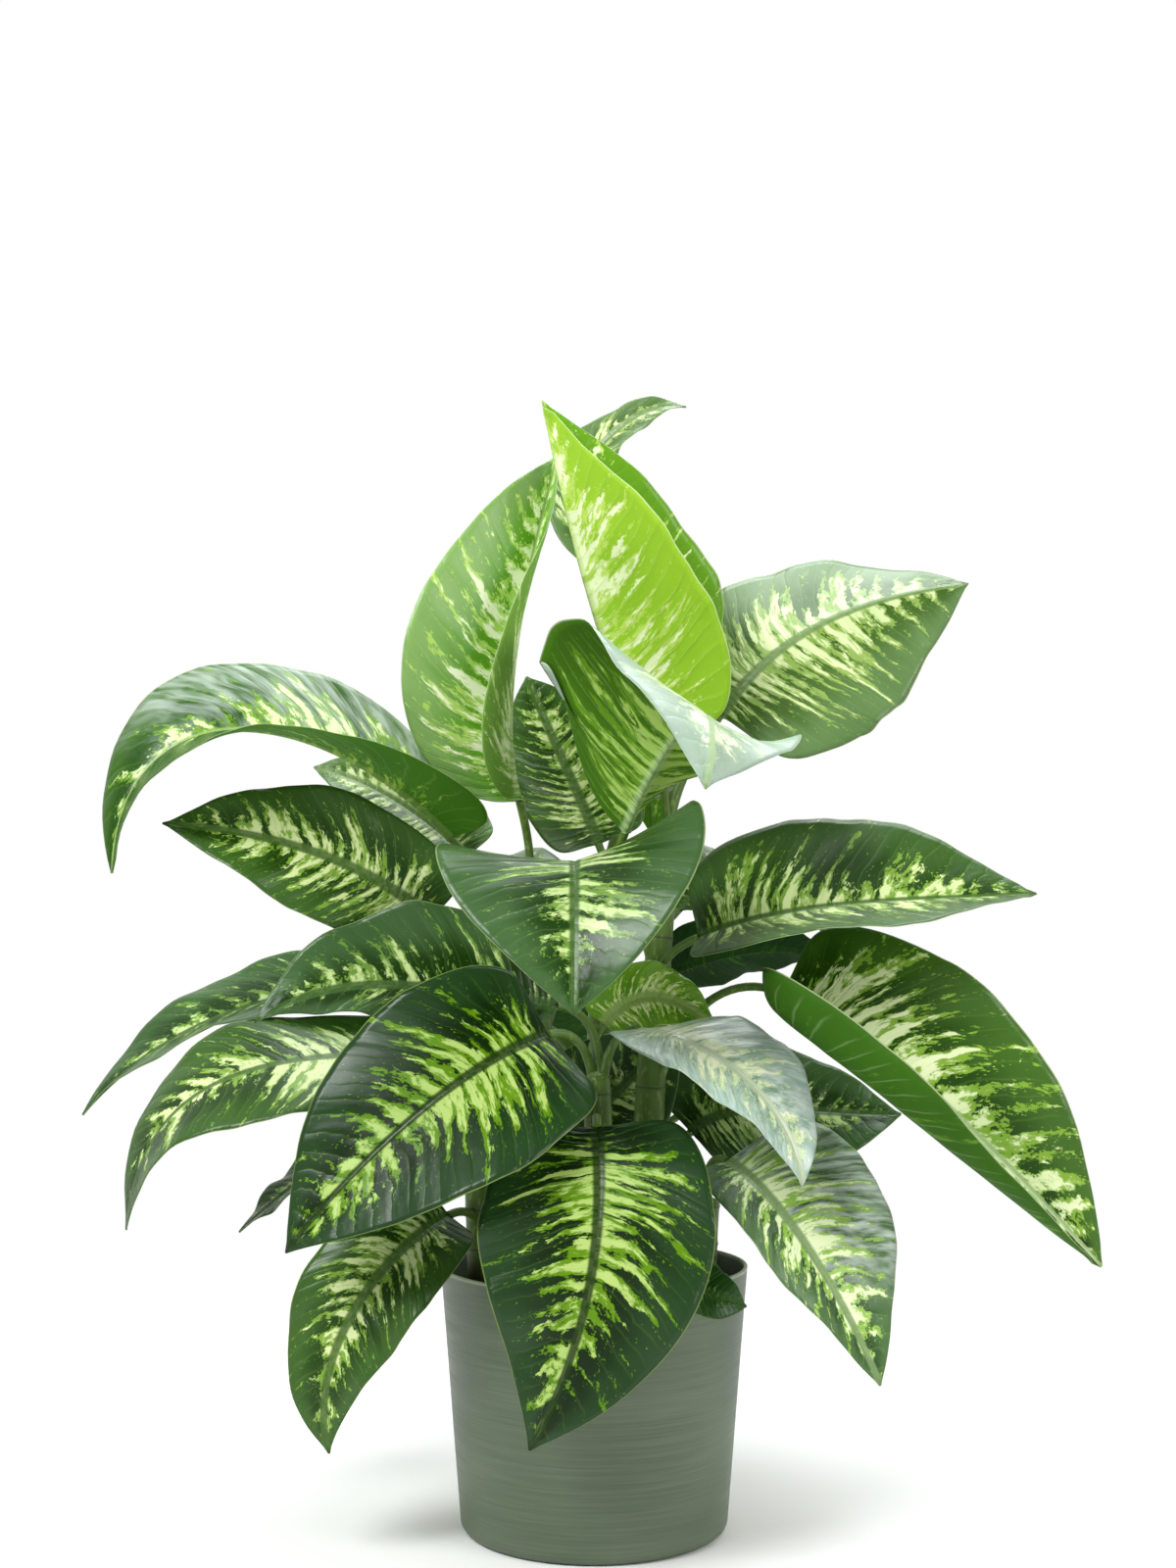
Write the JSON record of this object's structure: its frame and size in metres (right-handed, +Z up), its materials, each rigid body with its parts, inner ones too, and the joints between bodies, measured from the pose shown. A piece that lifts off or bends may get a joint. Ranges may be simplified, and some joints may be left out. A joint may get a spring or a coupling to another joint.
{
  "type": "potted dieffenbachia",
  "caption": "Bushy dieffenbachia with broad cream-mottled leaves on short canes, standing in a plain round tapered pot.",
  "frame": {"origin": "middle of the pot's underside", "axes": "+Z up along the pot, +X to the right and -Y toward the viewer of the picture"},
  "size_m": [0.8295, 0.5172, 0.9511],
  "materials": {
    "pot": "matt, faintly brushed",
    "soil": "loose and dull",
    "cane": "smooth green stem",
    "leaf_fresh": "soft sheen",
    "leaf_mottled": "soft sheen",
    "leaf_dark": "soft sheen",
    "leaf_grey": "soft sheen"
  },
  "bodies": {
    "root": {"pot": "pot", "soil": "soil", "cane_left": "cane", "cane_tall_left": "cane", "cane_tall_right": "cane", "cane_front": "cane", "cane_back": "cane", "cane_low_right": "cane", "leaf_crown_left": "leaf_fresh", "leaf_crown_right": "leaf_fresh", "leaf_back_top": "leaf_grey", "leaf_right_upper": "leaf_mottled", "leaf_fold_over": "leaf_fresh", "leaf_center_heart": "leaf_dark", "leaf_left_arch": "leaf_mottled", "leaf_left_upper": "leaf_mottled", "leaf_back_left": "leaf_grey", "leaf_left_mid": "leaf_dark", "leaf_left_big": "leaf_mottled", "leaf_left_low": "leaf_mottled", "leaf_left_far": "leaf_dark", "leaf_left_bottom": "leaf_mottled", "leaf_front": "leaf_mottled", "leaf_rim_tip": "leaf_dark", "leaf_right_low": "leaf_mottled", "leaf_right_low_back": "leaf_dark", "leaf_right_gloss": "leaf_grey", "leaf_right_small": "leaf_fresh", "leaf_right_mid": "leaf_mottled", "leaf_right_dark": "leaf_dark", "leaf_right_arch": "leaf_mottled", "leaf_back_mid": "leaf_mottled", "leaf_bud_tip": "leaf_dark", "leaf_inner": "leaf_dark", "leaf_rear_high": "leaf_mottled", "leaf_rear_left": "leaf_mottled", "leaf_rear_right": "leaf_mottled", "leaf_rear_mid": "leaf_dark", "leaf_rear_left_low": "leaf_mottled", "leaf_rear_right_low": "leaf_mottled", "leaf_rear_low": "leaf_dark"}
  },
  "joints": []
}
